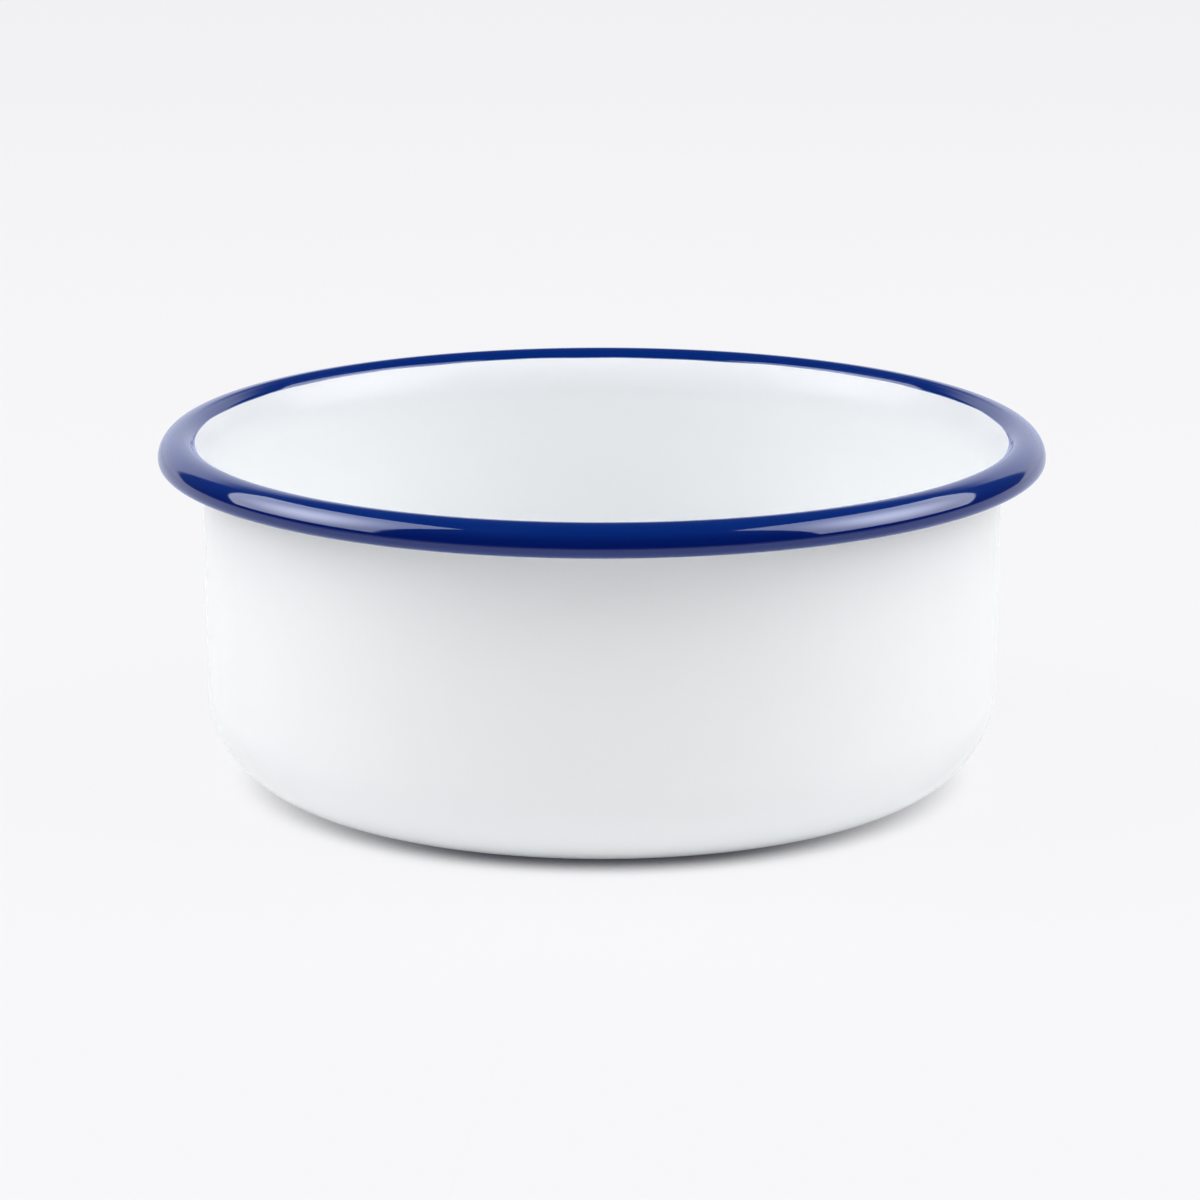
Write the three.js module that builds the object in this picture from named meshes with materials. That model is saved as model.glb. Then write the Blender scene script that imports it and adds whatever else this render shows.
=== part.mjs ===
// Enamel bowl: one drawn steel pressing with a rolled rim, under fired coats of enamel.
// Millimetres, +Z up, origin at the middle of the base, where the bowl stands.

import * as THREE from 'three';

// Driving dimensions, over the finished enamel
const RIM_DIAMETER = 160; // widest point of the rolled rim
const HEIGHT = 63.5; // base to the crown of the rim
const HEEL_RADIUS = 17; // outside corner between base and wall
const WALL_DRAFT = 0.75; // degrees that the wall leans outwards
const LIP_RADIUS = 5.2; // inside wall over to the crown
const SHOULDER_RADIUS = 3.9; // crown down to the widest point
const CURL_BORE_RADIUS = 0.3; // hollow side of the edge that is tucked under
const CURL_TURN = 150; // degrees that the edge turns past the widest point
const BLUE_REACH = 3.25; // blue enamel inside the crown, measured along the lip

// Layers, from the steel outwards on both faces
const STEEL = 0.6;
const GROUND_COAT = 0.1;
const WHITE_COAT = 0.22;
const BLUE_COAT = 0.22;
const LAYER_GAP = 0.02; // keeps neighbouring layers apart

// Fineness of the round stretches
const TURN_SEGMENTS = 40;
const HEEL_STEPS = 5;
const LIP_STEPS = 2; // on each side of the blue edge
const SHOULDER_STEPS = 3;
const CURL_STEPS = 3;

// Distances of the layers' faces from the middle of the steel
const steelFace = STEEL / 2;
const groundNear = steelFace + LAYER_GAP;
const groundFar = groundNear + GROUND_COAT;
const coverNear = groundFar + LAYER_GAP;
const whiteFar = coverNear + WHITE_COAT;
const blueFar = coverNear + BLUE_COAT;

// Radii of the steel's middle line, and the straight runs that the overall size leaves
const heelRadius = HEEL_RADIUS - whiteFar;
const lipRadius = LIP_RADIUS - blueFar;
const shoulderRadius = SHOULDER_RADIUS - blueFar;
const curlRadius = CURL_BORE_RADIUS + groundFar;
const draft = THREE.MathUtils.degToRad(WALL_DRAFT);
const upright = Math.PI / 2 - draft;
const bendsRise = (heelRadius + lipRadius) * (1 - Math.sin(draft));
const bendsReach = (heelRadius + lipRadius) * Math.cos(draft);
const wallRun = (HEIGHT - blueFar - whiteFar - bendsRise) / Math.cos(draft);
const floorRun = RIM_DIAMETER / 2 - blueFar - shoulderRadius - bendsReach - wallRun * Math.sin(draft);

// A station on the middle line has a radius, a height and a heading in radians.
function ahead(station, run) {
  const { r, z, heading } = station;
  return { r: r + run * Math.cos(heading), z: z + run * Math.sin(heading), heading };
}

// The stations of an arc after its start. A positive turn bends up and inwards.
function bend(station, radius, turn, steps) {
  const side = Math.sign(turn) * radius;
  const centreR = station.r - side * Math.sin(station.heading);
  const centreZ = station.z + side * Math.cos(station.heading);
  return Array.from({ length: steps }, (_, i) => {
    const heading = station.heading + (turn * (i + 1)) / steps;
    return { r: centreR + side * Math.sin(heading), z: centreZ - side * Math.cos(heading), heading };
  });
}

// The point beside a station: positive is the side that food touches.
function beside(station, distance) {
  const r = station.r - distance * Math.sin(station.heading);
  const z = station.z + distance * Math.cos(station.heading);
  return new THREE.Vector2(r, z);
}

// The middle line, from the centre of the floor to the cut edge of the sheet
const last = (stations) => stations[stations.length - 1];
const blueTurn = BLUE_REACH / LIP_RADIUS;
const centre = { r: 0, z: whiteFar, heading: 0 };
const floorEdge = ahead(centre, floorRun);
const heel = bend(floorEdge, heelRadius, upright, HEEL_STEPS);
const wallTop = ahead(last(heel), wallRun);
const whiteLip = bend(wallTop, lipRadius, blueTurn - upright, LIP_STEPS);
const blueEdge = bend(last(whiteLip), lipRadius, -LAYER_GAP / lipRadius, 1);
const blueLip = bend(last(whiteLip), lipRadius, -blueTurn, LIP_STEPS);
const shoulder = bend(last(blueLip), shoulderRadius, -Math.PI / 2, SHOULDER_STEPS);
const curl = bend(last(shoulder), curlRadius, -THREE.MathUtils.degToRad(CURL_TURN), CURL_STEPS);

const dish = [centre, floorEdge, ...heel, wallTop, ...whiteLip];
const crown = [...dish, ...blueLip];
const sheet = [...crown, ...shoulder, ...curl];
const rim = [...blueEdge, ...blueLip, ...shoulder, ...curl];

// A layer lies between two distances from the middle line and is turned about the bowl's axis.
function layer(name, stations, near, far, material) {
  const outline = [
    ...stations.map((station) => beside(station, near)),
    ...stations.map((station) => beside(station, far)).reverse(),
  ];
  if (stations[0] !== centre) outline.push(outline[0].clone());
  const geometry = new THREE.LatheGeometry(outline, TURN_SEGMENTS).rotateX(Math.PI / 2);
  const mesh = new THREE.Mesh(geometry, new THREE.MeshStandardMaterial(material));
  mesh.name = name;
  return mesh;
}

const bareSteel = { color: 0x8c9094, roughness: 0.45, metalness: 1 };
const groundGlass = { color: 0x1d222c, roughness: 0.3, metalness: 0 };
const whiteGlass = { color: 0xf3f5f7, roughness: 0.12, metalness: 0 };
const blueGlass = { color: 0x0a2a86, roughness: 0.1, metalness: 0 };

const bowl = new THREE.Group();
bowl.name = 'enamel_bowl';
bowl.add(
  layer('steel_shell', sheet, -steelFace, steelFace, bareSteel),
  layer('ground_coat_inside', sheet, groundNear, groundFar, groundGlass),
  layer('ground_coat_outside', sheet, -groundFar, -groundNear, groundGlass),
  layer('white_enamel_inside', dish, coverNear, whiteFar, whiteGlass),
  layer('white_enamel_outside', crown, -whiteFar, -coverNear, whiteGlass),
  layer('blue_rim_enamel', rim, coverNear, blueFar, blueGlass),
);

export default bowl;
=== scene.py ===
# Enamel bowl: a drawn steel pressing under fired coats of enamel, in a plain studio. Metres, +Z up.
from collections import namedtuple
from math import atan2, copysign, cos, pi, radians, sin, tau

import bmesh
import bpy
from mathutils import Matrix, Vector


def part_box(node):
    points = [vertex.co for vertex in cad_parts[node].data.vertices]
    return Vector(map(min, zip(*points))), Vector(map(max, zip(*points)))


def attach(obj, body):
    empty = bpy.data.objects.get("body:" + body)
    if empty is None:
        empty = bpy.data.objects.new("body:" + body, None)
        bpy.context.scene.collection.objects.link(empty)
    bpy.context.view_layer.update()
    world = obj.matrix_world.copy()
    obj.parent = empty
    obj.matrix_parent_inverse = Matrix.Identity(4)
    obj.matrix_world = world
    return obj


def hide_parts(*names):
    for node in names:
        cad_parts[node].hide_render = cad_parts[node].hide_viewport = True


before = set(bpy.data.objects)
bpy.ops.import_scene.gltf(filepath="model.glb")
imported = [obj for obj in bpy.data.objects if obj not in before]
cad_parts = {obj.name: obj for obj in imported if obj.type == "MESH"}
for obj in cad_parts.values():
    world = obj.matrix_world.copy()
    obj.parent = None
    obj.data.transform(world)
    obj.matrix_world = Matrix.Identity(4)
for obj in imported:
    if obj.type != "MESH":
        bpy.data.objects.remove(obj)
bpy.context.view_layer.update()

# Sizes over the finished enamel; the overall ones come from the frame.
# The lip is finer than the solid's single arc: the wall flares, then turns over tightly to a fuller crown.
CROWN_RISE = 0.0004
RIM_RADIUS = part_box("blue_rim_enamel")[1].x
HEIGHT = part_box("blue_rim_enamel")[1].z + CROWN_RISE
HEEL_RADIUS = 0.017
WALL_DRAFT = radians(0.75)
FLARE_RADIUS = 0.0104
FLARE_END = radians(45)
LIP_RADIUS = 0.0028
SHOULDER_RADIUS = 0.0041
CURL_BORE_RADIUS = 0.0003
CURL_TURN = radians(150)

# Layers, from the steel outwards on both faces
STEEL = 0.0006
GROUND_COAT = 0.0001
WHITE_COAT = 0.00022
BLUE_COAT = 0.00022
LAYER_GAP = 0.00002

# The blue's inner margin: a thin lap down the flare, over the white, with an unsteady brushed edge
LAP = 0.0009
LAP_RISE = 0.00004
LAP_FADE = 0.0002
LAP_CLEARANCE = 0.000004
LAP_STEPS = 8
# Waves of that edge: how many round the rim, their height, and where they start
EDGE_WAVES = ((5, 0.00006, 0.4), (9, 0.00005, 2.1), (17, 0.00004, 5.2), (31, 0.00003, 1.3))

# Painted shade on the blue: darkest on the outward face of the roll at this height, fading out over this
# distance towards the crown and underneath
BLUE_SHADE_HEIGHT = 0.0608
BLUE_SHADE_SPREAD = 0.0024

# Painted shade and a painted blue reflection of the rim on the white near the rim, between these heights
RIM_SHADE_FROM = 0.054
RIM_SHADE_TO = 0.0618

# What firing leaves on a coat: tone, ripple and specks per metre, then the specks' size and share
WHITE_SKIN = (28, 240, 55, 0.02, 0.04)
BLUE_SKIN = (90, 300, 260, 0.03, 0.05)
GROUND_SKIN = (120, 500, 700, 0.3, 0.3)
TONE_SPREAD = (0.3, 0.7)

# Colours, roughness and depth of relief; a body varies between two colours
WHITE_BODY = ((0.857, 0.877, 0.892), (0.873, 0.889, 0.902))
# Painted shade and painted blue reflection of the rim, on the white near the rim
WHITE_RIM_SHADE = (0.778, 0.795, 0.830)
WHITE_SPECK = (0.32, 0.33, 0.34)
WHITE_ROUGHNESS = (0.15, 0.22)
WHITE_RELIEF = 0.000012
BLUE_BODY = ((0.0007, 0.0165, 0.148), (0.0011, 0.0205, 0.172))
# Painted shade on the outward face of the roll
BLUE_SHADE = (0.0004, 0.0080, 0.112)
BLUE_SPECK = (0.03, 0.07, 0.26)
BLUE_FILM = (0.30, 0.42, 0.72)
BLUE_ROUGHNESS = (0.04, 0.08)
BLUE_RELIEF = 0.000006
GROUND_BODY = ((0.010, 0.012, 0.018), (0.022, 0.026, 0.036))
GROUND_SPECK = (0.05, 0.055, 0.07)
GROUND_ROUGHNESS = (0.25, 0.4)
GROUND_RELIEF = 0.00003
STEEL_BODY = ((0.38, 0.39, 0.41), (0.56, 0.57, 0.58))
STEEL_ROUGHNESS = (0.32, 0.52)
STEEL_RELIEF = 0.00001
STEEL_LINES = 1500
STEEL_STRETCH = (1, 1, 0.08)

# Stand-ins for light scattered in the blue glass: a tint on what it mirrors, and a sheen at a slant
BLUE_GLINT = (0.76, 0.82, 1, 1)
BLUE_SCATTER = (0.22, 0.38, 1, 1)

# Fineness of the turned pieces
TURN_STEPS = 192
HEEL_STEPS = 24
FLARE_STEPS = 10
LIP_STEPS = 14
SHOULDER_STEPS = 18
CURL_STEPS = 12
END_STEPS = 4
SUPPORT = 0.0008
WELD = 0.000001

# Distances of the layers' faces from the middle of the steel
STEEL_FACE = STEEL / 2
GROUND_NEAR = STEEL_FACE + LAYER_GAP
GROUND_FAR = GROUND_NEAR + GROUND_COAT
COVER_NEAR = GROUND_FAR + LAYER_GAP
WHITE_FAR = COVER_NEAR + WHITE_COAT
BLUE_FAR = COVER_NEAR + BLUE_COAT

# The steel's middle line: radii of its bends, and the straight runs that the overall size leaves
HEEL_BEND = HEEL_RADIUS - WHITE_FAR
FLARE_BEND = FLARE_RADIUS - WHITE_FAR
LIP_BEND = LIP_RADIUS - BLUE_FAR
SHOULDER_BEND = SHOULDER_RADIUS - BLUE_FAR
CURL_BEND = CURL_BORE_RADIUS + GROUND_FAR
UPRIGHT = pi / 2 - WALL_DRAFT
CROWN_RADIUS = RIM_RADIUS - SHOULDER_RADIUS
LIP_HEIGHT = HEIGHT - LIP_RADIUS
HEEL_RISE = HEEL_BEND * (1 - cos(UPRIGHT))
FLARE_RISE = FLARE_BEND * (cos(FLARE_END) - cos(UPRIGHT))
LIP_RISE = LIP_BEND * (1 - cos(FLARE_END))
WALL_RUN = (HEIGHT - BLUE_FAR - WHITE_FAR - HEEL_RISE - FLARE_RISE - LIP_RISE) / sin(UPRIGHT)
HEEL_REACH = HEEL_BEND * sin(UPRIGHT)
FLARE_REACH = FLARE_BEND * (sin(UPRIGHT) - sin(FLARE_END))
LIP_REACH = LIP_BEND * sin(FLARE_END)
FLOOR_RUN = CROWN_RADIUS - HEEL_REACH - WALL_RUN * cos(UPRIGHT) - FLARE_REACH - LIP_REACH

# The seam of white and blue lies where the flare meets the lip, and the lap reaches down from it
SEAM_RADIUS = CROWN_RADIUS - LIP_REACH
SEAM_GAP_TURN = LAYER_GAP / LIP_RADIUS
LAP_TURN = LAP / FLARE_RADIUS
FLARE_CENTRE_RADIUS = CROWN_RADIUS + (FLARE_BEND - LIP_BEND) * sin(FLARE_END)
FLARE_CENTRE_HEIGHT = LIP_HEIGHT - (FLARE_BEND - LIP_BEND) * cos(FLARE_END)

Straight = namedtuple("Straight", "run")


class Bend(namedtuple("Bend", "radius turn steps")):
    """An arc of the middle line. A positive turn bends to the left, towards the food."""

    def beside(self, offset):
        """Its radius at a distance to the left of the middle line."""
        return self.radius - copysign(1, self.turn) * offset


FLOOR = Straight(FLOOR_RUN)
HEEL = Bend(HEEL_BEND, UPRIGHT, HEEL_STEPS)
WALL = Straight(WALL_RUN)
FLARE = Bend(FLARE_BEND, FLARE_END - UPRIGHT, FLARE_STEPS)
LIP = Bend(LIP_BEND, -FLARE_END, LIP_STEPS)
SHOULDER = Bend(SHOULDER_BEND, -pi / 2, SHOULDER_STEPS)
CURL = Bend(CURL_BEND, -CURL_TURN, CURL_STEPS)
DISH = (FLOOR, HEEL, WALL, FLARE)

# Camera, as the photograph was taken
CAMERA_DISTANCE = 0.9
CAMERA_ELEVATION = radians(11.92)
CAMERA_AIM = Vector((-0.00033, 0, 0.0319))
CAMERA_LENS = 149.4
CAMERA_FAR = 100

# Studio: a pale sweep, a lamp on each side with the face that the glaze mirrors, two fills and a low glow
PAPER_WHITE = (0.87, 0.87, 0.87, 1)
SWEEP_WHITE = (0.928, 0.928, 0.943)
SWEEP_GLOW = 0.92
SWEEP_FRONT = (-0.7, -0.2)
SWEEP_RADIUS = 9
# Painted contact shadow on the sweep, from ambient occlusion: its reach, where it is darkest and clear, its
# colour, and its fading towards the sides
PAINTED_SHADOW_REACH = 0.016
PAINTED_SHADOW_DARK = 0.005
PAINTED_SHADOW_CLEAR = 0.41
PAINTED_SHADOW_TONE = (0.02, 0.022, 0.035)
PAINTED_SHADOW_SIDES = (0.015, 0.1)
BACKDROP_SIDES = (radians(36), radians(42))
BACKDROP_CORNER = (sin(radians(9)), radians(8))
BACKDROP_MIDDLE = radians(18)
BACKDROP_TOP = (sin(radians(20)), sin(radians(32)))
BACKDROP_FADE = 0.13
BACKDROP_FOOT = sin(radians(2))
ROOM_DARK = 0.012
BACKDROP_LEVEL = 1
LAMP_FRONT_LOW = Vector((1.014, -0.636, 0.304))
LAMP_FRONT_HIGH = Vector((0.505, -0.301, 1.212))
LAMP_BACK_LOW = Vector((1.064, 0.252, 0.211))
LAMP_BACK_HIGH = Vector((0.679, 0.666, 0.897))
LAMP_PLACE = Vector((0.74, -0.11, 0.75))
LAMP_SIZE = (1.1, 1.2)
LAMP_POWER = 11.3
LAMP_FORWARD = {-1: 0, 1: 0.083}
LAMP_FACE_STEPS = 8
LAMP_FACE_HALF = 0.5
LAMP_FACE_EDGE = 3.6
LAMP_FACE_MIDDLE = 9.3
LAMP_FACE_CORE = 0.5
LAMP_FACE_HEART = (0.46, 0.45, 0)
FRONT_FILL_PLACE = Vector((0, -1.7, 0.42))
FRONT_FILL_SIZE = (1.6, 0.8)
FRONT_FILL_POWER = 3.2
TOP_FILL_PLACE = Vector((0, -0.5, 1.45))
TOP_FILL_SIZE = (1.2, 0.8)
TOP_FILL_POWER = 1.6
HEEL_GLOW_PLACE = Vector((0, 0, 0.0002))
HEEL_GLOW_SIZE = (0.166, 0.166)
HEEL_GLOW_POWER = 0.0085


class Template:
    """A lathe template: a line of vertices in the plane of X and Z, drawn onwards from its tip."""

    def __init__(self, mesh, radius, height, heading):
        self.mesh = mesh
        self.tip = mesh.verts.new((radius, 0, height))
        self.heading = heading

    def to(self, radius, height):
        drawn = bmesh.ops.extrude_vert_indiv(self.mesh, verts=[self.tip])
        self.tip = drawn["verts"][0]
        self.tip.co = (radius, 0, height)

    def ahead(self, run):
        point = self.tip.co + Vector((cos(self.heading), 0, sin(self.heading))) * run
        self.to(point.x, point.z)

    def aside(self, distance):
        """A step to the left of the heading, which it keeps."""
        point = self.tip.co + Vector((-sin(self.heading), 0, cos(self.heading))) * distance
        self.to(point.x, point.z)

    def straight(self, run):
        """A straight run with a support row near each end, so that it shades flat."""
        for part in (SUPPORT, run - 2 * SUPPORT, SUPPORT):
            self.ahead(part)

    def bend(self, radius, turn, steps):
        """An arc. A positive turn bends to the left of the heading."""
        left = Vector((-sin(self.heading), 0, cos(self.heading)))
        centre = self.tip.co + left * copysign(radius, turn)
        arc = bmesh.ops.spin(
            self.mesh, geom=[self.tip], cent=centre, axis=(0, 1, 0), angle=-turn, steps=steps
        )
        self.tip = arc["geom_last"][0]
        self.heading += turn

    def follow(self, stretches, offset):
        """The given stretches of the steel's middle line, at a distance to its left."""
        for stretch in stretches:
            if isinstance(stretch, Straight):
                self.straight(stretch.run)
            else:
                self.bend(stretch.beside(offset), stretch.turn, stretch.steps)

    def follow_back(self, stretches, offset):
        """The same stretches from their end to their start, once the heading is turned round."""
        for stretch in reversed(stretches):
            if isinstance(stretch, Straight):
                self.straight(stretch.run)
            else:
                self.bend(stretch.beside(offset), -stretch.turn, stretch.steps)

    def turn_round(self, thickness):
        """A half-round end, over to the layer's other face."""
        self.bend(thickness / 2, pi, END_STEPS)


def flare_point(turn, offset):
    """Radius and height on the flare, at a turn back from the crown and a distance from the middle line."""
    reach = FLARE_BEND + offset
    return FLARE_CENTRE_RADIUS - reach * sin(turn), FLARE_CENTRE_HEIGHT + reach * cos(turn)


def turn_on_axis(mesh):
    """Turns a template round the bowl's axis and closes the seam and the poles."""
    outline = mesh.verts[:] + mesh.edges[:]
    bmesh.ops.spin(
        mesh, geom=outline, cent=(0, 0, 0), axis=(0, 0, 1), angle=tau, steps=TURN_STEPS, use_merge=True
    )
    bmesh.ops.remove_doubles(mesh, verts=mesh.verts, dist=WELD)
    bmesh.ops.recalc_face_normals(mesh, faces=mesh.faces)
    for face in mesh.faces:
        face.smooth = True


def dressed_piece(node, mesh, material):
    """The finished mesh as a piece that stands for a node of the frame."""
    data = bpy.data.meshes.new(node + "_fine")
    mesh.to_mesh(data)
    mesh.free()
    data.materials.append(material)
    piece = bpy.data.objects.new(node + "_fine", data)
    bpy.context.scene.collection.objects.link(piece)
    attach(piece, "root")
    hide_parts(node)


def coat(node, stretches, near, far, material):
    """A layer that starts on the bowl's axis and lies between two distances from the middle line."""
    mesh = bmesh.new()
    template = Template(mesh, 0, WHITE_FAR + near, 0)
    template.follow(stretches, near)
    template.turn_round(far - near)
    template.follow_back(stretches, far)
    turn_on_axis(mesh)
    dressed_piece(node, mesh, material)


def brushed_edge(angle):
    """How far the blue's edge strays from its mean line, at an angle round the rim."""
    return sum(height * sin(count * angle + start) for count, height, start in EDGE_WAVES)


def lap_share(radius, height):
    """How far out on its lap a point of the blue lies: 0 up to the seam, 1 at the brushed edge."""
    if radius > SEAM_RADIUS:
        return 0
    turn = atan2(FLARE_CENTRE_RADIUS - radius, height - FLARE_CENTRE_HEIGHT)
    return max(0, (turn - FLARE_END) / LAP_TURN)


def blue_rim(material):
    """The blue coat over the roll, whose margin laps over the white in a thin film."""
    mesh = bmesh.new()
    film = mesh.verts.layers.float.new("film")
    lap_face = WHITE_FAR + LAP_CLEARANCE
    lap_edge = flare_point(FLARE_END + LAP_TURN, lap_face)
    roll = (Bend(LIP_BEND, SEAM_GAP_TURN - FLARE_END, LIP_STEPS), SHOULDER, CURL)

    template = Template(mesh, *lap_edge, FLARE_END + LAP_TURN)
    template.bend(FLARE_BEND + lap_face, -LAP_TURN, LAP_STEPS)
    template.bend(LIP_BEND + lap_face, -SEAM_GAP_TURN, 1)
    template.aside(COVER_NEAR - lap_face)
    template.follow(roll, COVER_NEAR)
    template.turn_round(BLUE_COAT)
    template.follow_back(roll, BLUE_FAR)
    for step in range(1, LAP_STEPS):
        share = step / LAP_STEPS
        rise = BLUE_FAR + LAP_RISE * sin(pi * share) + LAP_CLEARANCE
        template.to(*flare_point(FLARE_END + LAP_TURN * share, rise))
    template.to(*lap_edge)

    for vertex in mesh.verts:
        bare = 1 - lap_share(vertex.co.x, vertex.co.z)
        vertex[film] = min(1, max(0, bare * LAP / LAP_FADE))
    turn_on_axis(mesh)

    for vertex in mesh.verts:
        radius = vertex.co.xy.length
        angle = atan2(vertex.co.y, vertex.co.x)
        stray = lap_share(radius, vertex.co.z) * brushed_edge(angle) / FLARE_RADIUS
        centre = Vector((FLARE_CENTRE_RADIUS, FLARE_CENTRE_HEIGHT))
        arm = Vector((radius, vertex.co.z)) - centre
        arm.rotate(Matrix.Rotation(stray, 2))
        moved = centre + arm
        vertex.co = (moved.x * cos(angle), moved.x * sin(angle), moved.y)
    dressed_piece("blue_rim_enamel", mesh, material)


def add_camera():
    data = bpy.data.cameras.new("camera")
    data.lens = CAMERA_LENS
    data.clip_end = CAMERA_FAR
    camera = bpy.data.objects.new("camera", data)
    bpy.context.scene.collection.objects.link(camera)
    rim = Vector((CAMERA_AIM.x, 0, HEIGHT))
    towards = Vector((0, -cos(CAMERA_ELEVATION), sin(CAMERA_ELEVATION)))
    camera.location = rim + towards * CAMERA_DISTANCE
    camera.rotation_euler = (CAMERA_AIM - camera.location).to_track_quat("-Z", "Y").to_euler()
    bpy.context.scene.camera = camera


def new_material(name):
    material = bpy.data.materials.new(name)
    material.use_nodes = True
    return material, material.node_tree, material.node_tree.nodes["Principled BSDF"]


def put(tree, kind, **settings):
    node = tree.nodes.new(kind)
    for name, value in settings.items():
        setattr(node, name, value)
    return node


def set_inputs(node, **values):
    for name, value in values.items():
        node.inputs[name.replace("_", " ")].default_value = value
    return node


def arithmetic(tree, operation, first, second):
    """A Math node whose inputs are sockets or plain numbers."""
    node = put(tree, "ShaderNodeMath", operation=operation)
    for slot, value in zip(node.inputs, (first, second)):
        if isinstance(value, bpy.types.NodeSocket):
            tree.links.new(value, slot)
        else:
            slot.default_value = value
    return node.outputs[0]


def blend_colours(tree, share, first, second):
    """A colour between two, each a socket or a plain colour."""
    node = put(tree, "ShaderNodeMix", data_type="RGBA")
    tree.links.new(share, node.inputs["Factor"])
    for slot, value in ((node.inputs[6], first), (node.inputs[7], second)):
        if isinstance(value, bpy.types.NodeSocket):
            tree.links.new(value, slot)
        else:
            slot.default_value = (*value, 1)
    return node.outputs[2]


def remap(tree, value, old_low, old_high, low, high):
    node = put(tree, "ShaderNodeMapRange", interpolation_type="SMOOTHSTEP")
    set_inputs(node, From_Min=old_low, From_Max=old_high, To_Min=low, To_Max=high)
    tree.links.new(value, node.inputs["Value"])
    return node.outputs["Result"]


def object_place(tree):
    """X, Y and Z of the shaded point, in the object's own coordinates."""
    split = put(tree, "ShaderNodeSeparateXYZ")
    tree.links.new(put(tree, "ShaderNodeTexCoord").outputs["Object"], split.inputs[0])
    return split.outputs


def fired_skin_group():
    """The surface that firing leaves on every coat: slow tone, ripple of the melt, and specks."""
    group = bpy.data.node_groups.new("fired_skin", "ShaderNodeTree")
    for name in ("Tone per metre", "Ripple per metre", "Specks per metre", "Speck size", "Speck share"):
        group.interface.new_socket(name=name, in_out="INPUT", socket_type="NodeSocketFloat")
    for name in ("Tone", "Ripple", "Specks"):
        group.interface.new_socket(name=name, in_out="OUTPUT", socket_type="NodeSocketFloat")
    given = put(group, "NodeGroupInput").outputs
    made = put(group, "NodeGroupOutput").inputs
    place = put(group, "ShaderNodeTexCoord").outputs["Object"]

    for name, detail in (("Tone", 3), ("Ripple", 1)):
        noise = set_inputs(put(group, "ShaderNodeTexNoise"), Detail=detail)
        group.links.new(place, noise.inputs["Vector"])
        group.links.new(given[name + " per metre"], noise.inputs["Scale"])
        group.links.new(noise.outputs["Fac"], made[name])

    cells = put(group, "ShaderNodeTexVoronoi")
    group.links.new(place, cells.inputs["Vector"])
    group.links.new(given["Specks per metre"], cells.inputs["Scale"])
    chance = put(group, "ShaderNodeSeparateColor")
    group.links.new(cells.outputs["Color"], chance.inputs["Color"])
    chosen = arithmetic(group, "LESS_THAN", chance.outputs["Red"], given["Speck share"])
    size = arithmetic(group, "MULTIPLY", chance.outputs["Green"], given["Speck size"])
    dot = arithmetic(group, "LESS_THAN", cells.outputs["Distance"], size)
    group.links.new(arithmetic(group, "MULTIPLY", chosen, dot), made["Specks"])
    return group


def fired_skin(tree, values):
    node = put(tree, "ShaderNodeGroup", node_tree=FIRED_SKIN)
    for slot, value in zip(node.inputs, values):
        slot.default_value = value
    return node.outputs


def relief(tree, shader, height, distance):
    """A shallow relief on the surface, from a height of 0 to 1 and its full depth in metres."""
    bump = set_inputs(put(tree, "ShaderNodeBump"), Strength=1.0, Distance=distance)
    tree.links.new(height, bump.inputs["Height"])
    tree.links.new(bump.outputs["Normal"], shader.inputs["Normal"])


def white_enamel():
    """White cover coat: glossy, faintly cool, with a soft ripple, a few dark iron specks, and painted shade
    with a painted blue reflection of the rim near the rim.
    """
    material, tree, glass = new_material("white_enamel")
    skin = fired_skin(tree, WHITE_SKIN)
    body = blend_colours(tree, skin["Tone"], *WHITE_BODY)
    # Painted shade and a painted blue reflection of the rim, on the white near the rim
    rim_shade_share = remap(tree, object_place(tree)["Z"], RIM_SHADE_FROM, RIM_SHADE_TO, 0, 1)
    rim_shaded = blend_colours(tree, rim_shade_share, body, WHITE_RIM_SHADE)
    specked = blend_colours(tree, skin["Specks"], rim_shaded, WHITE_SPECK)
    tree.links.new(specked, glass.inputs["Base Color"])
    tree.links.new(remap(tree, skin["Tone"], *TONE_SPREAD, *WHITE_ROUGHNESS), glass.inputs["Roughness"])
    set_inputs(glass, IOR=1.54, Specular_IOR_Level=0.1)
    relief(tree, glass, skin["Ripple"], WHITE_RELIEF)
    return material


def blue_enamel():
    """Cobalt edging, with painted shade on the outward face of the roll, pale where it thins out over the
    white.
    """
    material, tree, glass = new_material("blue_enamel")
    skin = fired_skin(tree, BLUE_SKIN)
    film = put(tree, "ShaderNodeAttribute", attribute_name="film").outputs["Fac"]
    # Painted shade: a darker band on the outward face of the roll
    below = arithmetic(tree, "SUBTRACT", object_place(tree)["Z"], BLUE_SHADE_HEIGHT)
    shade_band = remap(tree, arithmetic(tree, "ABSOLUTE", below, 0), 0, BLUE_SHADE_SPREAD, 1, 0)
    lit = blend_colours(tree, skin["Tone"], *BLUE_BODY)
    band_shaded = blend_colours(tree, shade_band, lit, BLUE_SHADE)
    pitted = blend_colours(tree, skin["Specks"], band_shaded, BLUE_SPECK)
    shaded = blend_colours(tree, remap(tree, film, 0, 1, 0, 1), BLUE_FILM, pitted)
    tree.links.new(shaded, glass.inputs["Base Color"])
    tree.links.new(remap(tree, skin["Tone"], *TONE_SPREAD, *BLUE_ROUGHNESS), glass.inputs["Roughness"])
    set_inputs(glass, IOR=1.62, Specular_Tint=BLUE_GLINT)
    set_inputs(glass, Sheen_Weight=0.45, Sheen_Roughness=0.35, Sheen_Tint=BLUE_SCATTER)
    relief(tree, glass, skin["Ripple"], BLUE_RELIEF)
    return material


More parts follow.
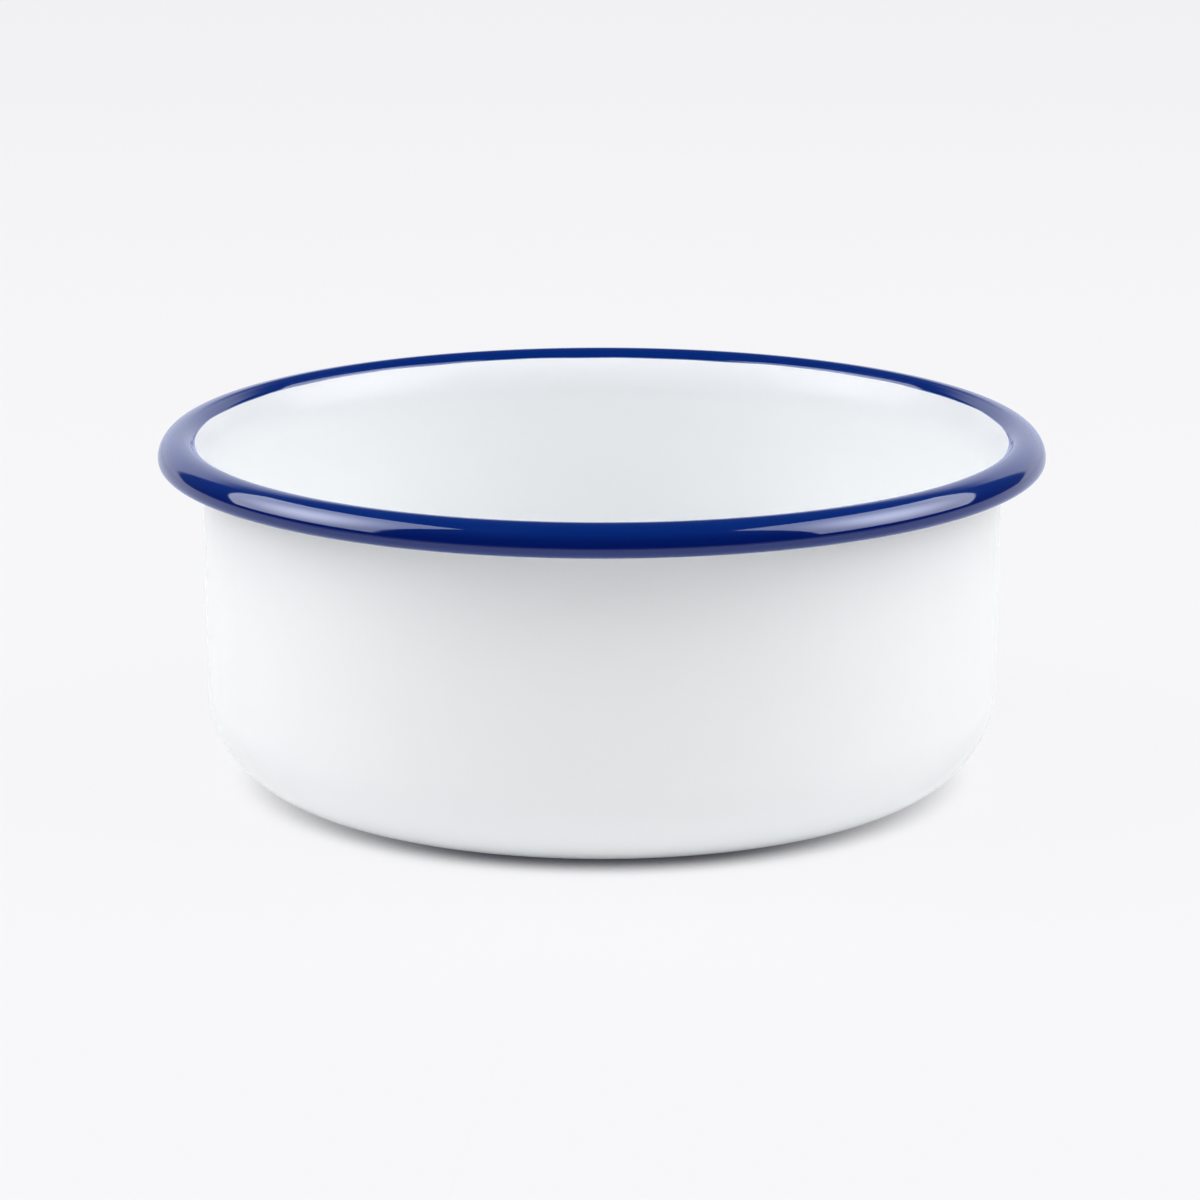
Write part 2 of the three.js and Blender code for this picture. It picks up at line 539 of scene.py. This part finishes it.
def ground_enamel():
    """Dark ground coat: duller, with bubbles and burnt specks."""
    material, tree, glass = new_material("ground_enamel")
    skin = fired_skin(tree, GROUND_SKIN)
    body = blend_colours(tree, skin["Tone"], *GROUND_BODY)
    specked = blend_colours(tree, skin["Specks"], body, GROUND_SPECK)
    tree.links.new(specked, glass.inputs["Base Color"])
    tree.links.new(remap(tree, skin["Tone"], *TONE_SPREAD, *GROUND_ROUGHNESS), glass.inputs["Roughness"])
    relief(tree, glass, skin["Ripple"], GROUND_RELIEF)
    return material


def sheet_steel():
    """Pickled steel sheet, with fine draw lines up the wall."""
    material, tree, metal = new_material("sheet_steel")
    place = put(tree, "ShaderNodeTexCoord").outputs["Object"]
    drawn = set_inputs(put(tree, "ShaderNodeMapping"), Scale=STEEL_STRETCH)
    lines = set_inputs(put(tree, "ShaderNodeTexNoise"), Scale=STEEL_LINES, Detail=3)
    tree.links.new(place, drawn.inputs["Vector"])
    tree.links.new(drawn.outputs["Vector"], lines.inputs["Vector"])
    tone = blend_colours(tree, lines.outputs["Fac"], *STEEL_BODY)
    dull = remap(tree, lines.outputs["Fac"], *TONE_SPREAD, *STEEL_ROUGHNESS)
    tree.links.new(tone, metal.inputs["Base Color"])
    tree.links.new(dull, metal.inputs["Roughness"])
    metal.inputs["Metallic"].default_value = 1
    relief(tree, metal, lines.outputs["Fac"], STEEL_RELIEF)
    return material


def sweep_material():
    """The pale sweep: white to the camera and in the glaze, with the bowl's own shadow faintly on it and a
    painted contact shadow under the heel.
    """
    material, tree, paper = new_material("sweep_paper")
    set_inputs(paper, Base_Color=PAPER_WHITE, Roughness=0.9, Specular_IOR_Level=0)
    occluded = set_inputs(put(tree, "ShaderNodeAmbientOcclusion", samples=16), Distance=PAINTED_SHADOW_REACH)
    glow = put(tree, "ShaderNodeEmission")
    place = object_place(tree)
    # Painted contact shadow from ambient occlusion, weaker towards the side lamps
    painted_shadow = remap(tree, occluded.outputs["AO"], PAINTED_SHADOW_DARK, PAINTED_SHADOW_CLEAR, 1, 0)
    aside = arithmetic(tree, "ABSOLUTE", place["X"], 0)
    shade = arithmetic(tree, "MULTIPLY", painted_shadow, remap(tree, aside, *PAINTED_SHADOW_SIDES, 1, 0))
    tree.links.new(blend_colours(tree, shade, SWEEP_WHITE, PAINTED_SHADOW_TONE), glow.inputs["Color"])
    path = put(tree, "ShaderNodeLightPath").outputs
    seen = arithmetic(tree, "MAXIMUM", path["Is Camera Ray"], path["Is Glossy Ray"])
    seen = arithmetic(tree, "MAXIMUM", seen, path["Is Transmission Ray"])
    lit = remap(tree, place["Y"], *SWEEP_FRONT, 0, SWEEP_GLOW)
    share = arithmetic(tree, "MULTIPLY", seen, lit)
    mix = put(tree, "ShaderNodeMixShader")
    tree.links.new(share, mix.inputs[0])
    tree.links.new(paper.outputs[0], mix.inputs[1])
    tree.links.new(glow.outputs[0], mix.inputs[2])
    tree.links.new(mix.outputs[0], tree.nodes["Material Output"].inputs["Surface"])
    return material


def add_sweep():
    mesh = bmesh.new()
    bmesh.ops.create_circle(mesh, cap_ends=True, radius=SWEEP_RADIUS, segments=64)
    bmesh.ops.translate(mesh, verts=mesh.verts, vec=(0, 0, -LAYER_GAP))
    data = bpy.data.meshes.new("sweep")
    mesh.to_mesh(data)
    mesh.free()
    data.materials.append(sweep_material())
    sweep = bpy.data.objects.new("sweep", data)
    bpy.context.scene.collection.objects.link(sweep)


def lamp_face_material():
    """A softbox's diffuser, brightest in its middle."""
    material, tree, shader = new_material("lamp_face")
    tree.nodes.remove(shader)
    place = put(tree, "ShaderNodeTexCoord").outputs["UV"]
    middle = put(tree, "ShaderNodeVectorMath", operation="DISTANCE")
    tree.links.new(place, middle.inputs[0])
    middle.inputs[1].default_value = LAMP_FACE_HEART
    strength = remap(tree, middle.outputs["Value"], 0, LAMP_FACE_CORE, LAMP_FACE_MIDDLE, LAMP_FACE_EDGE)
    glow = put(tree, "ShaderNodeEmission")
    tree.links.new(strength, glow.inputs["Strength"])
    tree.links.new(glow.outputs[0], tree.nodes["Material Output"].inputs["Surface"])
    return material


def add_lamp_face(side, material):
    """The diffuser as the glaze mirrors it; the lamp itself gives the light."""
    forward = Vector((0, -LAMP_FORWARD[side], 0))
    mesh = bmesh.new()
    mesh.loops.layers.uv.new("UVMap")
    bmesh.ops.create_grid(
        mesh,
        x_segments=LAMP_FACE_STEPS,
        y_segments=LAMP_FACE_STEPS,
        size=LAMP_FACE_HALF,
        calc_uvs=True,
    )
    for vertex in mesh.verts:
        back = vertex.co.x + LAMP_FACE_HALF
        up = vertex.co.y + LAMP_FACE_HALF
        low = (LAMP_FRONT_LOW + forward).lerp(LAMP_BACK_LOW, back)
        high = (LAMP_FRONT_HIGH + forward).lerp(LAMP_BACK_HIGH, back)
        vertex.co = Matrix.Diagonal((side, 1, 1)) @ low.lerp(high, up)
    data = bpy.data.meshes.new("lamp_face")
    mesh.to_mesh(data)
    mesh.free()
    data.materials.append(material)
    face = bpy.data.objects.new("lamp_face", data)
    bpy.context.scene.collection.objects.link(face)
    face.visible_camera = False
    face.visible_diffuse = False
    face.visible_shadow = False


def add_lamp(name, place, aim, size, power, shape="RECTANGLE"):
    data = bpy.data.lights.new(name, "AREA")
    data.shape = shape
    data.size, data.size_y = size
    data.energy = power
    lamp = bpy.data.objects.new(name, data)
    bpy.context.scene.collection.objects.link(lamp)
    lamp.location = place
    lamp.rotation_euler = (aim - place).to_track_quat("-Z", "Y").to_euler()
    lamp.visible_camera = False
    lamp.visible_glossy = False


def add_world():
    """A dark room, with the pale backdrop behind the bowl."""
    world = bpy.data.worlds.new("studio")
    bpy.context.scene.world = world
    world.use_nodes = True
    tree = world.node_tree
    way = put(tree, "ShaderNodeTexCoord").outputs["Generated"]
    part = put(tree, "ShaderNodeSeparateXYZ")
    tree.links.new(way, part.inputs[0])
    level = part.outputs["Z"]
    sideways = arithmetic(tree, "ARCTAN2", part.outputs["X"], part.outputs["Y"])
    turned = arithmetic(tree, "ABSOLUTE", sideways, 0)
    corner = remap(tree, level, 0, BACKDROP_CORNER[0], BACKDROP_CORNER[1], 0)
    behind = remap(tree, arithmetic(tree, "SUBTRACT", turned, corner), *BACKDROP_SIDES, 1, 0)
    top = remap(tree, turned, 0, BACKDROP_MIDDLE, *BACKDROP_TOP)
    above = arithmetic(tree, "SUBTRACT", level, top)
    below = remap(tree, above, -BACKDROP_FADE, BACKDROP_FADE, 1, 0)
    ground = remap(tree, level, 0, BACKDROP_FOOT, 1, 0)
    pale = arithmetic(tree, "MAXIMUM", arithmetic(tree, "MULTIPLY", behind, below), ground)
    strength = remap(tree, pale, 0, 1, ROOM_DARK, BACKDROP_LEVEL)
    tree.links.new(strength, tree.nodes["Background"].inputs["Strength"])
    tree.nodes["Background"].inputs["Color"].default_value = (1, 1, 1, 1)


def add_studio():
    add_sweep()
    add_world()
    face = lamp_face_material()
    aim = Vector((0, 0, HEIGHT / 2))
    for side in (-1, 1):
        add_lamp_face(side, face)
        place = Matrix.Diagonal((side, 1, 1)) @ LAMP_PLACE
        add_lamp("side_lamp", place, aim, LAMP_SIZE, LAMP_POWER)
    add_lamp("front_fill", FRONT_FILL_PLACE, aim, FRONT_FILL_SIZE, FRONT_FILL_POWER)
    add_lamp("top_fill", TOP_FILL_PLACE, aim, TOP_FILL_SIZE, TOP_FILL_POWER)
    add_lamp("heel_glow", HEEL_GLOW_PLACE, aim, HEEL_GLOW_SIZE, HEEL_GLOW_POWER, "ELLIPSE")


def add_bowl():
    steel = sheet_steel()
    ground = ground_enamel()
    white = white_enamel()
    sheet = (*DISH, LIP, SHOULDER, CURL)
    coat("steel_shell", sheet, -STEEL_FACE, STEEL_FACE, steel)
    coat("ground_coat_inside", sheet, GROUND_NEAR, GROUND_FAR, ground)
    coat("ground_coat_outside", sheet, -GROUND_FAR, -GROUND_NEAR, ground)
    coat("white_enamel_inside", DISH, COVER_NEAR, WHITE_FAR, white)
    coat("white_enamel_outside", (*DISH, LIP), -WHITE_FAR, -COVER_NEAR, white)
    blue_rim(blue_enamel())


bpy.context.scene.view_settings.view_transform = "Standard"
add_camera()
FIRED_SKIN = fired_skin_group()
add_bowl()
add_studio()
